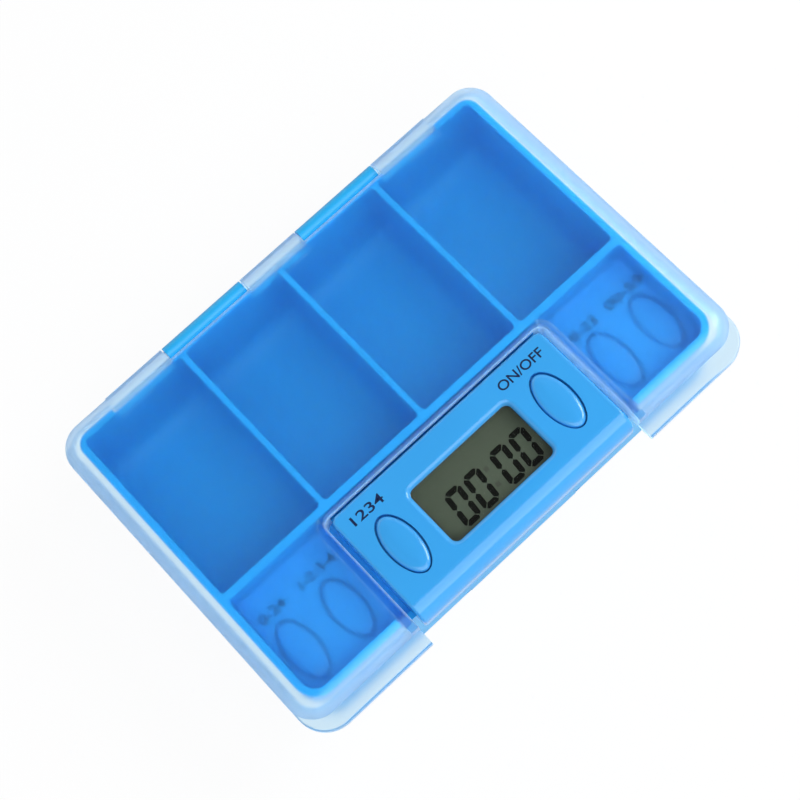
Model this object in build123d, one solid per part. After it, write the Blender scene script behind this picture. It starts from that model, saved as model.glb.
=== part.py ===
from build123d import *

import math
import os

# A pocket pill box with a timer: four compartments in a blue tray, a timer in front of them,
# and one frosted lid over all of it but the timer's raised panel.
# Millimetres. +X runs along the length, +Y to the hinge, +Z up. The origin is on the
# surface that the box stands on, under the middle of its outline.

# ---- lid -------------------------------------------------------------------------------
LENGTH = 95.0              # lid, side to side
LID_DEPTH = 64.2           # lid, front to back, without the finger lip
HEIGHT = 22.0              # lid and panel tops above the table
LID_WALL = 1.5
LID_EDGE_R = 3.2           # rounding of the top edge, shared with the panel's front edge
LID_CORNER_R = 5.0
SKIRT = 4.8                # skirt height, top face to lower edge
LIP = 2.9                  # finger lip, forward of the skirt
LIP_THICKNESS = 1.3
LIP_CORNER_R = 5.6
LIP_EDGE_R = 0.4
NOTCH_GAP_X = 1.1          # lid to panel, each side
NOTCH_GAP_Y = 0.7          # lid to panel, behind
NOTCH_CORNER_R = 1.6
NOTCH_EDGE_R = 0.6
KNUCKLE_EDGE_R = 1.0       # rounding of the lid's edge in front of each knuckle
PAD_LENGTH = 7.0           # shallow moulding pads under the lid, by the hinge tabs
PAD_WIDTH = 2.2
PAD_DEPTH = 0.2
PAD_INSET = 2.8            # from the lid's back edge

# ---- snap hinge ------------------------------------------------------------------------
HINGE_DROP = 2.3           # axis below the lid's top
HINGE_INSET = 1.45         # axis in front of the lid's back edge
KNUCKLE_R = 1.4
CENTRE_TAB = 12.2          # lid tab in the middle
KNUCKLE_SPAN = 17.7        # opening in the lid for each tray knuckle
OUTER_TAB = 12.2           # lid tab outside each knuckle
SIDE_PLAY = 0.3            # knuckle to tab, along the axis
SWING_GAP = 0.3            # kept between parts that turn past each other
STUB_R = 0.75              # moulded pivot stubs on the lid's tabs
STUB_LENGTH = 2.0
STUB_FIT = 0.05            # radial running clearance
HEM_DROP = 2.55            # lower edge of the lid's back hem below its top

# ---- tray ------------------------------------------------------------------------------
SIDE_OVERHANG = 3.0        # lid past the tray, each side
FRONT_OVERHANG = 2.35
BACK_OVERHANG = 2.35
LID_CLEARANCE = 0.5        # tray rim to the lid's underside
TRAY_WALL = 1.2
TRAY_FLOOR = 2.0
FRONT_CORNER_R = 4.0
BACK_CORNER_R = 2.5
FOOT_EDGE_R = 0.8
BAY_WALL = 1.4             # wall between compartments and timer
DIVIDER = 1.0
COMPARTMENTS = 4
SCOOP_R = 2.5              # rounding between a compartment's floor and walls
COMPARTMENT_CORNER_R = 0.8
LEDGE = 0.8                # shelf that the timer cover sits on
FIT = 0.1                  # between moulded parts that nest

# ---- timer cover -----------------------------------------------------------------------
COVER_WALL = 1.5
PANEL_WIDTH = 46.0
PANEL_FRONT_FIELD = 5.55   # panel's front face to the window
PANEL_BACK_FIELD = 5.15    # window to the panel's back face
PANEL_GAP = 1.95           # panel's back face to the bay wall
PANEL_CORNER_R = 1.2
PANEL_EDGE_R = 0.5
APRON_OVERLAP = 1.8        # tray front wall behind the panel's front apron
WINDOW_WIDTH = 21.8
WINDOW_DEPTH = 11.4
WINDOW_CORNER_R = 1.2
WINDOW_EDGE_R = 0.9
LENS_THICKNESS = 0.8
LENS_BORDER = 1.4          # lens past the window, all round
LENS_RECESS = 0.4

# ---- keys ------------------------------------------------------------------------------
KEY_WIDTH = 5.5
KEY_DEPTH = 11.3
KEY_GAP = 0.3
KEY_PROUD = 0.25
KEY_EDGE_R = 0.6           # rounding of the cap's rim
KEY_FLANGE = 0.6           # flange past the key cap, all round
KEY_FLANGE_T = 0.8
KEY_SEAT_GAP = 0.1
KEY_TRAVEL = 0.5
STEM_RIB = 1.0
STEM_SPAN = 3.6
WALL_SHARE = 0.05          # of a wing's spare width, between the outer key and the tray's side
PANEL_SHARE = 0.515        # of a wing's spare width, between the inner key and the panel

# ---- board and what is on it ----------------------------------------------------------
CONTACT_ROOM = 1.0         # cells to board
BOARD_T = 1.2
BOARD_GAP = 0.7            # board to bay wall
SWITCH_SIZE = 6.0
SWITCH_H = 2.4
PLUNGER_R = 1.6
PLUNGER_H = 1.3
PLUNGER_GAP = 0.3
GLASS_T = 1.0
GLASS_BORDER = 1.3         # display glass past the window, each side
GLASS_FRONT_BORDER = 0.6
GLASS_BACK_BORDER = 0.9
CONTACT_LEDGE = 1.6        # front glass past the rear glass, where the ribbon joins
REFLECTOR_T = 0.2
HOLDER_WALL = 1.1
HOLDER_LIP = 0.35
RIBBON_T = 0.16
RIBBON_WIDTH = 20.0
RIBBON_BEND = 0.6
BLOB_R = 4.5
BLOB_H = 1.3
CRYSTAL_R = 1.0
CRYSTAL_LENGTH = 6.0
CRYSTAL_ASIDE = 4.0        # behind the resin's centre
PARTS_GAP = 1.5            # resin to the parts beside it
CHIP_SIZE = (2.0, 1.25, 0.8)
CHIP_PITCH = 2.6
CHIP_ASIDE = -5.0          # first chip part, in front of the resin's centre

# ---- battery, buzzer and fasteners ----------------------------------------------------
CELL_R = 5.8
CELL_H = 5.4
CELL_CAP_R = 4.9
CELL_CAP_H = 0.7
CELL_EDGE = 0.3
CELL_PITCH = 12.4
CELL_GAP = 0.3
CELL_SETBACK = 2.4         # cell centres behind the key line
BOX_WALL = 1.0
DOOR_RECESS = 0.2          # door face above the table
DOOR_TONGUE = 0.8
DOOR_TONGUE_T = 0.5
DOOR_FIT = 0.1
GRIP_RIDGES = 4
GRIP_PITCH = 1.6
GRIP_WIDTH = 10.0
GRIP_DEPTH = 0.4
GRIP_INSET = 3.0           # first groove behind the door's front edge
STRIP_T = 0.25             # battery and buzzer contact strip
STRIP_WIDTH = 4.0
CELL_LEAF_RUN = 2.4        # of a cell's leaf: its foot, and its slope
CELL_LEAF_TIP = 2.0
BUZZER_LEAF_WIDTH = 1.5
BUZZER_LEAF_FOOT = 2.0
BUZZER_LEAF_RUN = 4.0
BUZZER_LEAF_TIP = 0.8
LEAF_KICK = 0.5            # rise of a leaf's free tip
BRIDGE_T = 0.2
DISC_R = 7.0
DISC_T = 0.2
CERAMIC_R = 5.0
BUZZER_X = -22.5
BUZZER_RISE = 0.6          # disc above the bay floor
SOUND_HOLE_R = 0.6
SOUND_HOLE_RING = 2.6
COVER_SCREW_R = 0.95
COVER_SCREW_LENGTH = 8.0
COVER_BOSS_R = 1.8
COVER_BOSS_INSET = 1.9     # boss centre inside the bay's front and back faces
SCREW_HEAD_R = 1.8
SCREW_HEAD_H = 1.4
SCREW_SEAT = 3.0           # head seat above the table
SCREW_SHELF = 1.5
BOARD_SCREW_R = 0.7
BOARD_SCREW_LENGTH = 4.0
BOARD_BOSS_R = 1.8
BOARD_HEAD_R = 1.4
BOARD_HEAD_H = 1.0
BOARD_BOSS_INSET = 2.6
THREAD_FIT = 0.05          # screw to its pilot hole
HOLE_FIT = 0.25            # screw or boss to a clearance hole

# ---- places that follow from the sizes -------------------------------------------------
PANEL_DEPTH = PANEL_FRONT_FIELD + WINDOW_DEPTH + PANEL_BACK_FIELD
BAY_DEPTH = PANEL_DEPTH + PANEL_GAP
COMPARTMENT_DEPTH = LID_DEPTH - BACK_OVERHANG - TRAY_WALL - BAY_WALL - BAY_DEPTH
LID_BACK = (LID_DEPTH + LIP) / 2
LID_FRONT = LID_BACK - LID_DEPTH
LID_UNDER = HEIGHT - LID_WALL
SKIRT_Z = HEIGHT - SKIRT
RIM_Z = LID_UNDER - LID_CLEARANCE
HINGE_Y = LID_BACK - HINGE_INSET
HINGE_Z = HEIGHT - HINGE_DROP
TAB_INNER = CENTRE_TAB / 2
TAB_OUTER = TAB_INNER + KNUCKLE_SPAN
TAB_END = TAB_OUTER + OUTER_TAB
KNUCKLE_CUT = HINGE_Y - math.sqrt((KNUCKLE_R + SWING_GAP) ** 2 - (LID_UNDER - HINGE_Z) ** 2)

TRAY_X = LENGTH / 2 - SIDE_OVERHANG
TRAY_FRONT = LID_FRONT + FRONT_OVERHANG
TRAY_BACK = LID_BACK - BACK_OVERHANG
POCKET_BACK = TRAY_BACK - TRAY_WALL
POCKET_FRONT = POCKET_BACK - COMPARTMENT_DEPTH
BAY_BACK = POCKET_FRONT - BAY_WALL
BAY_X = TRAY_X - TRAY_WALL
BAY_FRONT = TRAY_FRONT + TRAY_WALL
DIVIDER_PITCH = 2 * BAY_X / COMPARTMENTS

# cells, board, switches and keys stand on one another; the decks lie over them
CELL_TOP = TRAY_FLOOR + CELL_H
BOARD_UNDER = CELL_TOP + CONTACT_ROOM
BOARD_TOP = BOARD_UNDER + BOARD_T
FLANGE_UNDER = BOARD_TOP + SWITCH_H + KEY_TRAVEL + KEY_SEAT_GAP
SHELF_Z = FLANGE_UNDER + KEY_FLANGE_T + KEY_SEAT_GAP
DECK_Z = SHELF_Z + COVER_WALL

PANEL_X = PANEL_WIDTH / 2
PANEL_BACK = LID_FRONT + PANEL_DEPTH
PANEL_UNDER = HEIGHT - COVER_WALL
FACE_Y = LID_FRONT + PANEL_FRONT_FIELD + WINDOW_DEPTH / 2
NOTCH_X = PANEL_X + NOTCH_GAP_X
NOTCH_BACK = PANEL_BACK + NOTCH_GAP_Y

# the panel keys lie midway from window to panel side; the deck keys share out their wing
PANEL_KEY_X = (WINDOW_WIDTH + PANEL_WIDTH) / 4
FLANGE_X = KEY_WIDTH / 2 + KEY_FLANGE
WING_SPARE = BAY_X - PANEL_X - 4 * FLANGE_X
OUTER_KEY_X = BAY_X - WALL_SHARE * WING_SPARE - FLANGE_X
INNER_KEY_X = PANEL_X + PANEL_SHARE * WING_SPARE + FLANGE_X
PANEL_KEYS = {"memo": -PANEL_KEY_X, "on_off": PANEL_KEY_X}
DECK_KEYS = {"time": -OUTER_KEY_X, "alarm": -INNER_KEY_X, "hour": INNER_KEY_X, "minute": OUTER_KEY_X}

BOARD_X = BAY_X - BOARD_GAP
BOARD_FRONT = BAY_FRONT + LEDGE + BOARD_GAP / 2
BOARD_BACK = BAY_BACK - LEDGE - BOARD_GAP / 2

LENS_TOP = PANEL_UNDER + LENS_RECESS
LENS_UNDER = LENS_TOP - LENS_THICKNESS
GLASS_X = WINDOW_WIDTH / 2 + GLASS_BORDER
GLASS_FRONT = FACE_Y - WINDOW_DEPTH / 2 - GLASS_FRONT_BORDER
REAR_GLASS_BACK = FACE_Y + WINDOW_DEPTH / 2 + GLASS_BACK_BORDER
FRONT_GLASS_BACK = REAR_GLASS_BACK + CONTACT_LEDGE
REAR_GLASS_TOP = LENS_UNDER - GLASS_T
REFLECTOR_TOP = REAR_GLASS_TOP - GLASS_T

CELL_Y = FACE_Y + CELL_SETBACK
CELL_XS = (-CELL_PITCH / 2, CELL_PITCH / 2)
BOX_X = CELL_XS[1] + CELL_R + CELL_GAP
BOX_FRONT = CELL_Y - CELL_R - CELL_GAP
BOX_BACK = CELL_Y + CELL_R + CELL_GAP
DOOR_TOP = TRAY_FLOOR - FIT
TONGUE_Z = (DOOR_RECESS + DOOR_TOP) / 2
DISC_Z = TRAY_FLOOR + BUZZER_RISE

COVER_SCREW_X = (INNER_KEY_X + OUTER_KEY_X) / 2
BOARD_SCREW_X = PANEL_X - COVER_WALL / 2
COVER_SCREWS = [
    (side * COVER_SCREW_X, y)
    for side in (-1, 1)
    for y in (BAY_FRONT + LEDGE + COVER_BOSS_INSET, BAY_BACK - LEDGE - COVER_BOSS_INSET)
]
BOARD_SCREWS = [
    (side * BOARD_SCREW_X, y)
    for side in (-1, 1)
    for y in (BAY_FRONT + LEDGE + BOARD_BOSS_INSET, BAY_BACK - LEDGE - BOARD_BOSS_INSET)
]


# ---- shared shapes ---------------------------------------------------------------------
def block(x0, x1, y0, y1, z0, z1):
    """A box between three pairs of limits."""
    return Pos((x0 + x1) / 2, (y0 + y1) / 2, (z0 + z1) / 2) * Box(x1 - x0, y1 - y0, z1 - z0)


def post(x, y, z0, z1, radius):
    """An upright cylinder between two heights."""
    return Pos(x, y, (z0 + z1) / 2) * Cylinder(radius, z1 - z0)


def rod(x0, x1, y, z, radius):
    """A cylinder lying along X."""
    return Pos((x0 + x1) / 2, y, z) * Rot(0, 90, 0) * Cylinder(radius, abs(x1 - x0))


def plate(x0, x1, y0, y1, z0, z1, front_r, back_r=None):
    """A slab whose upright corners are rounded, front and back each by its own radius."""
    outline = Pos((x0 + x1) / 2, (y0 + y1) / 2) * Rectangle(x1 - x0, y1 - y0)
    back = outline.vertices().group_by(Axis.Y)[-1]
    outline = fillet(back, front_r if back_r is None else back_r)
    if front_r:
        outline = fillet(outline.vertices().filter_by(lambda v: abs(v.Y - y0) < 1e-6), front_r)
    return Pos(0, 0, z0) * extrude(outline, z1 - z0)


def oval(x, z0, z1, grow=0.0):
    """A key-shaped prism on the key line, larger all round by grow."""
    outline = Ellipse(KEY_WIDTH / 2 + grow, KEY_DEPTH / 2 + grow)
    return Pos(x, FACE_Y, z0) * extrude(outline, z1 - z0)


def edges_at(solid, z):
    """The edges that lie flat at height z."""
    return [e for e in solid.edges() if abs(e.bounding_box().min.Z - z) < 1e-4
            and abs(e.bounding_box().max.Z - z) < 1e-4]


def strip(points, y, width):
    """A sheet-metal strip bent along points in the XZ plane, width wide about y."""
    leaf = Plane.XZ * extrude(trace(Polyline(*points), STRIP_T), width)
    return Pos(0, y + width / 2, 0) * leaf


def side_prism(points, x0, x1):
    """A profile drawn in the YZ plane, run along X between two limits."""
    profile = make_face(Plane.YZ * Polyline(*points, close=True))
    return Pos(x0, 0, 0) * extrude(profile, x1 - x0, dir=(1, 0, 0))


def mirrored(solid):
    """The solid together with its mirror image across the middle of the box."""
    return solid + mirror(solid, Plane.YZ)


# ---- lid -------------------------------------------------------------------------------
def lid_hollow():
    """The space under the lid's top, inside its skirt."""
    inset = LENGTH / 2 - LID_WALL
    space = plate(-inset, inset, LID_FRONT + LID_WALL, LID_BACK - LID_WALL, 0, LID_UNDER,
                  LID_CORNER_R - LID_WALL)
    return fillet(edges_at(space, LID_UNDER), LID_EDGE_R - LID_WALL)


def lid_blank():
    """The lid's outer form, solid down to the skirt's lower edge."""
    half = LENGTH / 2
    shell = plate(-half, half, LID_FRONT, LID_BACK, SKIRT_Z, HEIGHT, LID_CORNER_R)
    return fillet(edges_at(shell, HEIGHT), LID_EDGE_R)


def notch(grow, z0, z1):
    """The cut for the panel, in the middle of the lid's front, smaller by grow."""
    front = LID_FRONT - LIP - 1
    half = NOTCH_X + grow
    radius = NOTCH_CORNER_R + grow
    outline = plate(-half, half, front, NOTCH_BACK + grow, z0, z1, 0.5, radius)
    return outline


def finger_lip():
    """The flat lip along the skirt's lower edge, from corner to corner."""
    half = LENGTH / 2
    outer = plate(-half, half, LID_FRONT - LIP, 0, SKIRT_Z, SKIRT_Z + LIP_THICKNESS,
                  LIP_CORNER_R, 0.5)
    outer = fillet(edges_at(outer, SKIRT_Z + LIP_THICKNESS), LIP_EDGE_R)
    return outer & block(-half, half, LID_FRONT - LIP, LID_FRONT + LID_CORNER_R + LIP,
                         SKIRT_Z, HEIGHT)


def lid_tab(x0, x1):
    """A hinge tab: a barrel about the axis, joined up into the lid's rolled edge."""
    barrel = rod(x0, x1, HINGE_Y, HINGE_Z, KNUCKLE_R)
    web = block(x0, x1, HINGE_Y - KNUCKLE_R, HINGE_Y + KNUCKLE_R, HINGE_Z, LID_UNDER + 0.3)
    return barrel + (web & lid_blank())


def make_lid():
    half = LENGTH / 2
    hollow = lid_hollow()
    lip = finger_lip() - block(-half + LID_WALL, half - LID_WALL, LID_FRONT + LID_WALL, PANEL_BACK,
                               0, HEIGHT)
    lid = lid_blank() + (lip - hollow) - hollow
    # the skirt turns in along both sides of the notch
    cheek = notch(LID_WALL, SKIRT_Z, HEIGHT - LID_WALL / 2)
    cheek -= block(-NOTCH_X, NOTCH_X, NOTCH_BACK, 0, 0, HEIGHT)
    cheek &= block(-half, half, LID_FRONT, 0, 0, HEIGHT)
    lid = lid + cheek - notch(0, 0, HEIGHT + 1)
    rim = [e for e in edges_at(lid, HEIGHT) if e.bounding_box().max.Y < NOTCH_BACK + 0.01
           and e.bounding_box().min.Y > LID_FRONT + LID_EDGE_R - 0.1
           and abs(e.center().X) < NOTCH_X + 0.01]
    lid = fillet(rim, NOTCH_EDGE_R)
    # the back of the skirt stops short as a hem, so that it clears the tray as it swings
    hem = HEIGHT - HEM_DROP
    relief = [(TRAY_BACK - SWING_GAP - hem + SKIRT_Z, SKIRT_Z), (TRAY_BACK - SWING_GAP, hem),
              (LID_BACK + 1, hem), (LID_BACK + 1, 0), (TRAY_BACK - SWING_GAP - hem + SKIRT_Z, 0)]
    lid -= side_prism(relief, -half - 1, half + 1)
    # openings for the tray's knuckles, tabs between them and pivot stubs on the tabs
    for side in (-1, 1):
        a, b = sorted((side * TAB_INNER, side * TAB_OUTER))
        lid -= block(a, b, KNUCKLE_CUT, LID_BACK + 1, 0, HEIGHT + 1)
        y, z = KNUCKLE_CUT - KNUCKLE_EDGE_R, HEIGHT - KNUCKLE_EDGE_R
        lid -= block(a, b, y, KNUCKLE_CUT, z, HEIGHT + 1) - rod(a, b, y, z, KNUCKLE_EDGE_R)
    tab = lid_tab(TAB_OUTER, TAB_END) + rod(TAB_OUTER - STUB_LENGTH, TAB_OUTER + 1, HINGE_Y, HINGE_Z, STUB_R)
    lid += mirrored(tab)
    reach = TAB_INNER + STUB_LENGTH
    lid += lid_tab(-TAB_INNER, TAB_INNER) + rod(-reach, reach, HINGE_Y, HINGE_Z, STUB_R)
    # shallow pads left by the tooling beside each tab
    pad_back = LID_BACK - PAD_INSET
    for x1 in (TAB_INNER, TAB_END, PAD_LENGTH - TAB_END):
        lid -= block(x1 - PAD_LENGTH, x1, pad_back - PAD_WIDTH, pad_back, LID_UNDER - 0.1,
                     LID_UNDER + PAD_DEPTH)
    return lid


# ---- tray ------------------------------------------------------------------------------
def compartment(x0, x1):
    """The hollow of one compartment, scooped at the floor."""
    space = block(x0, x1, POCKET_FRONT, POCKET_BACK, TRAY_FLOOR, HEIGHT)
    space = fillet(edges_at(space, TRAY_FLOOR), SCOOP_R)
    return fillet(space.edges().filter_by(Axis.Z), COMPARTMENT_CORNER_R)


def tray_knuckle():
    """One hinge knuckle on the back wall, with a bracket running down to the wall."""
    x0 = TAB_INNER + SIDE_PLAY
    x1 = TAB_OUTER - SIDE_PLAY
    slope = KNUCKLE_R * math.sqrt(0.5)
    drop = HINGE_Y + slope - TRAY_BACK
    inside = TRAY_BACK - TRAY_WALL / 2
    low = HINGE_Z - slope - drop
    bracket = [(inside, HINGE_Z), (HINGE_Y, HINGE_Z), (HINGE_Y + slope, HINGE_Z - slope),
               (TRAY_BACK, low), (inside, low)]
    return side_prism(bracket, x0, x1) + rod(x0, x1, HINGE_Y, HINGE_Z, KNUCKLE_R)


def stub_bores():
    """Blind bores in a knuckle's ends for the lid's stubs."""
    depth = SIDE_PLAY + STUB_LENGTH
    bore = STUB_R + STUB_FIT
    return (rod(TAB_INNER, TAB_INNER + depth, HINGE_Y, HINGE_Z, bore)
            + rod(TAB_OUTER - depth, TAB_OUTER, HINGE_Y, HINGE_Z, bore))


def make_base_tray():
    tray = plate(-TRAY_X, TRAY_X, TRAY_FRONT, TRAY_BACK, 0, RIM_Z, FRONT_CORNER_R, BACK_CORNER_R)
    tray = fillet(edges_at(tray, 0), FOOT_EDGE_R)
    # compartments
    for i in range(COMPARTMENTS):
        centre = (i - (COMPARTMENTS - 1) / 2) * DIVIDER_PITCH
        x0 = -BAY_X if i == 0 else centre - DIVIDER_PITCH / 2 + DIVIDER / 2
        x1 = BAY_X if i == COMPARTMENTS - 1 else centre + DIVIDER_PITCH / 2 - DIVIDER / 2
        tray -= compartment(x0, x1)
    # timer bay, with the shelf that the cover sits on
    inner_r = FRONT_CORNER_R - TRAY_WALL
    tray -= plate(-BAY_X, BAY_X, BAY_FRONT, BAY_BACK, SHELF_Z, HEIGHT, inner_r, 0.5)
    tray -= plate(-BAY_X, BAY_X, BAY_FRONT + LEDGE, BAY_BACK - LEDGE, TRAY_FLOOR, HEIGHT,
                  inner_r, 0.5)
    # the front wall drops behind the panel's apron, and again where panel and lid cross it
    crossing = NOTCH_X + LID_WALL + SWING_GAP
    inside = PANEL_X - COVER_WALL - FIT
    front = TRAY_FRONT - 1
    tray -= block(-crossing, crossing, front, BAY_FRONT, SKIRT_Z + APRON_OVERLAP, HEIGHT)
    tray -= mirrored(block(inside, crossing, front, BAY_FRONT, SKIRT_Z - 2 * FIT, HEIGHT))
    # the back wall is cut down under the lid's tabs
    wall_top = HINGE_Z - KNUCKLE_R - SWING_GAP
    tray -= mirrored(block(TAB_OUTER - SIDE_PLAY, TAB_END + SIDE_PLAY, POCKET_BACK - 0.1, LID_BACK,
                           wall_top, HEIGHT))
    tray -= block(-TAB_INNER - SIDE_PLAY, TAB_INNER + SIDE_PLAY, POCKET_BACK - 0.1, LID_BACK,
                  wall_top, HEIGHT)
    tray += mirrored(tray_knuckle())
    tray -= mirrored(stub_bores())
    # screw wells
    for x, y in COVER_SCREWS:
        tray += post(x, y, 0, SCREW_SEAT + SCREW_SHELF, SCREW_HEAD_R + HOLE_FIT + BOX_WALL)
        tray -= post(x, y, -1, SCREW_SEAT, SCREW_HEAD_R + HOLE_FIT)
        tray -= post(x, y, 0, SCREW_SEAT + SCREW_SHELF, COVER_SCREW_R + HOLE_FIT)
    # battery box, open below, and the door's way out at the front
    tray += block(-BOX_X - BOX_WALL, BOX_X + BOX_WALL, BOX_FRONT - BOX_WALL, BOX_BACK + BOX_WALL,
                  0, BOARD_UNDER - FIT)
    tray -= block(-BOX_X, BOX_X, BOX_FRONT, BOX_BACK, -1, BOARD_UNDER)
    tray -= block(-BOX_X, BOX_X, front, BOX_BACK, -1, TRAY_FLOOR)
    groove = BOX_X + DOOR_TONGUE
    half_t = DOOR_TONGUE_T / 2 + DOOR_FIT
    tray -= block(-groove, groove, front, BOX_BACK, TONGUE_Z - half_t, TONGUE_Z + half_t)
    # buzzer seat with its sound holes
    seat = post(BUZZER_X, CELL_Y, 0, DISC_Z + 2 * DISC_T, DISC_R + FIT + BOX_WALL)
    seat -= post(BUZZER_X, CELL_Y, DISC_Z, HEIGHT, DISC_R + FIT)
    tray += seat
    tray -= post(BUZZER_X, CELL_Y, TRAY_FLOOR, HEIGHT, DISC_R - BOX_WALL)
    tray -= post(BUZZER_X, CELL_Y, -1, HEIGHT, SOUND_HOLE_R)
    for hole in PolarLocations(SOUND_HOLE_RING, 4):
        tray -= Pos(BUZZER_X, CELL_Y, 0) * hole * Cylinder(SOUND_HOLE_R, 3 * TRAY_FLOOR)
    return tray


# ---- timer cover -----------------------------------------------------------------------
def make_timer_cover():
    edge = FIT + TRAY_WALL
    deck = plate(-TRAY_X + edge, TRAY_X - edge, TRAY_FRONT + edge, BAY_BACK - FIT, SHELF_Z, DECK_Z,
                 FRONT_CORNER_R - edge, 0.4)
    panel = plate(-PANEL_X, PANEL_X, LID_FRONT, PANEL_BACK, SHELF_Z, HEIGHT, 0, PANEL_CORNER_R)
    top = edges_at(panel, HEIGHT)
    front_edge = [e for e in top if e.center().Y < LID_FRONT + 0.01]
    panel = fillet(front_edge, LID_EDGE_R)
    others = [e for e in edges_at(panel, HEIGHT) if e.center().Y > LID_FRONT + LID_EDGE_R + 0.5]
    panel = fillet(others, PANEL_EDGE_R)
    panel -= block(-PANEL_X, PANEL_X, LID_FRONT - 1, TRAY_FRONT + edge, 0, SKIRT_Z)
    inner_x = PANEL_X - COVER_WALL
    room = block(-inner_x, inner_x, LID_FRONT + COVER_WALL, PANEL_BACK - COVER_WALL, 0, PANEL_UNDER)
    inner_front = [e for e in edges_at(room, PANEL_UNDER) if e.center().Y < LID_FRONT + COVER_WALL + 0.01]
    room = fillet(inner_front, LID_EDGE_R - COVER_WALL)
    cover = deck + panel - room
    # window, and the recess that the lens sits in from below
    half_w, half_d = WINDOW_WIDTH / 2, WINDOW_DEPTH / 2
    cover -= plate(-half_w, half_w, FACE_Y - half_d, FACE_Y + half_d, PANEL_UNDER - 1, HEIGHT + 1,
                   WINDOW_CORNER_R)
    window = [e for e in edges_at(cover, HEIGHT) if abs(e.center().Y - FACE_Y) < half_d + 0.1
              and abs(e.center().X) < half_w + 0.1]
    cover = fillet(window, WINDOW_EDGE_R)
    lens_w, lens_d = half_w + LENS_BORDER, half_d + LENS_BORDER
    cover -= block(-lens_w, lens_w, FACE_Y - lens_d, FACE_Y + lens_d, PANEL_UNDER - 1, LENS_TOP)
    # key holes
    for x in PANEL_KEYS.values():
        cover -= oval(x, PANEL_UNDER - 1, HEIGHT + 1, KEY_GAP)
    for x in DECK_KEYS.values():
        cover -= oval(x, SHELF_Z - 1, DECK_Z + 1, KEY_GAP)
    # bosses for the cover screws and the board screws
    for x, y in COVER_SCREWS:
        cover += post(x, y, SCREW_SEAT + SCREW_SHELF, SHELF_Z + COVER_WALL / 2, COVER_BOSS_R)
        cover -= post(x, y, 0, SHELF_Z - 0.5, COVER_SCREW_R + THREAD_FIT)
    for x, y in BOARD_SCREWS:
        cover += post(x, y, BOARD_TOP, SHELF_Z + COVER_WALL / 2, BOARD_BOSS_R)
        cover -= post(x, y, 0, SHELF_Z - 0.3, BOARD_SCREW_R + THREAD_FIT)
    return cover


def make_window_lens():
    half_w = WINDOW_WIDTH / 2 + LENS_BORDER - FIT
    half_d = WINDOW_DEPTH / 2 + LENS_BORDER - FIT
    return plate(-half_w, half_w, FACE_Y - half_d, FACE_Y + half_d, LENS_UNDER, LENS_TOP, 0.4)


# ---- keys ------------------------------------------------------------------------------
def make_key(x, top, under):
    """A key cap with its retaining flange, and a ribbed stem where the board lies deep."""
    cap = oval(x, under - KEY_SEAT_GAP, top + KEY_PROUD)
    cap = fillet(edges_at(cap, top + KEY_PROUD), KEY_EDGE_R)
    flange_under = under - KEY_SEAT_GAP - KEY_FLANGE_T
    key = cap + oval(x, flange_under, under - KEY_SEAT_GAP, KEY_FLANGE)
    if flange_under > FLANGE_UNDER:
        key += Pos(x, FACE_Y) * block(-STEM_SPAN / 2, STEM_SPAN / 2, -STEM_RIB / 2, STEM_RIB / 2,
                                      FLANGE_UNDER, flange_under)
        key += Pos(x, FACE_Y) * block(-STEM_RIB / 2, STEM_RIB / 2, -STEM_SPAN / 2, STEM_SPAN / 2,
                                      FLANGE_UNDER, flange_under)
    return key


def make_plunger(x):
    return post(x, FACE_Y, FLANGE_UNDER - PLUNGER_H, FLANGE_UNDER, PLUNGER_R)


def make_switch_bodies():
    bodies = []
    half = SWITCH_SIZE / 2
    for x in list(PANEL_KEYS.values()) + list(DECK_KEYS.values()):
        body = block(x - half, x + half, FACE_Y - half, FACE_Y + half, BOARD_TOP, BOARD_TOP + SWITCH_H)
        body = chamfer(edges_at(body, BOARD_TOP + SWITCH_H), 0.3)
        floor = FLANGE_UNDER - PLUNGER_H - KEY_TRAVEL - KEY_SEAT_GAP
        bodies.append(body - post(x, FACE_Y, floor, HEIGHT, PLUNGER_R + PLUNGER_GAP))
    return Compound(children=bodies)


# ---- display ---------------------------------------------------------------------------
def make_front_glass():
    return block(-GLASS_X, GLASS_X, GLASS_FRONT, FRONT_GLASS_BACK, REAR_GLASS_TOP, LENS_UNDER)


def make_rear_glass():
    return block(-GLASS_X, GLASS_X, GLASS_FRONT, REAR_GLASS_BACK, REFLECTOR_TOP, REAR_GLASS_TOP)


def make_reflector():
    return block(-GLASS_X, GLASS_X, GLASS_FRONT, REAR_GLASS_BACK, REFLECTOR_TOP - REFLECTOR_T, REFLECTOR_TOP)


def make_display_holder():
    """An open frame that stands on the board and carries the display."""
    wall = HOLDER_LIP
    outer = plate(-GLASS_X - wall, GLASS_X + wall, GLASS_FRONT - wall, REAR_GLASS_BACK + wall,
                  BOARD_TOP, REAR_GLASS_TOP, 0.3)
    inner_x = GLASS_X - HOLDER_WALL
    outer -= block(-inner_x, inner_x, GLASS_FRONT + HOLDER_WALL, REAR_GLASS_BACK - HOLDER_WALL, 0, HEIGHT)
    gap = FIT / 2
    outer -= block(-GLASS_X - gap, GLASS_X + gap, GLASS_FRONT - gap, REAR_GLASS_BACK + gap,
                   REFLECTOR_TOP - REFLECTOR_T, HEIGHT)
    # side windows lighten the frame and leave room for parts on the board
    tall = (REFLECTOR_TOP - BOARD_TOP) / 2
    outer -= block(-inner_x + 2, inner_x - 2, GLASS_FRONT - 2, REAR_GLASS_BACK + 2,
                   BOARD_TOP - 1, BOARD_TOP + tall)
    return outer


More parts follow.
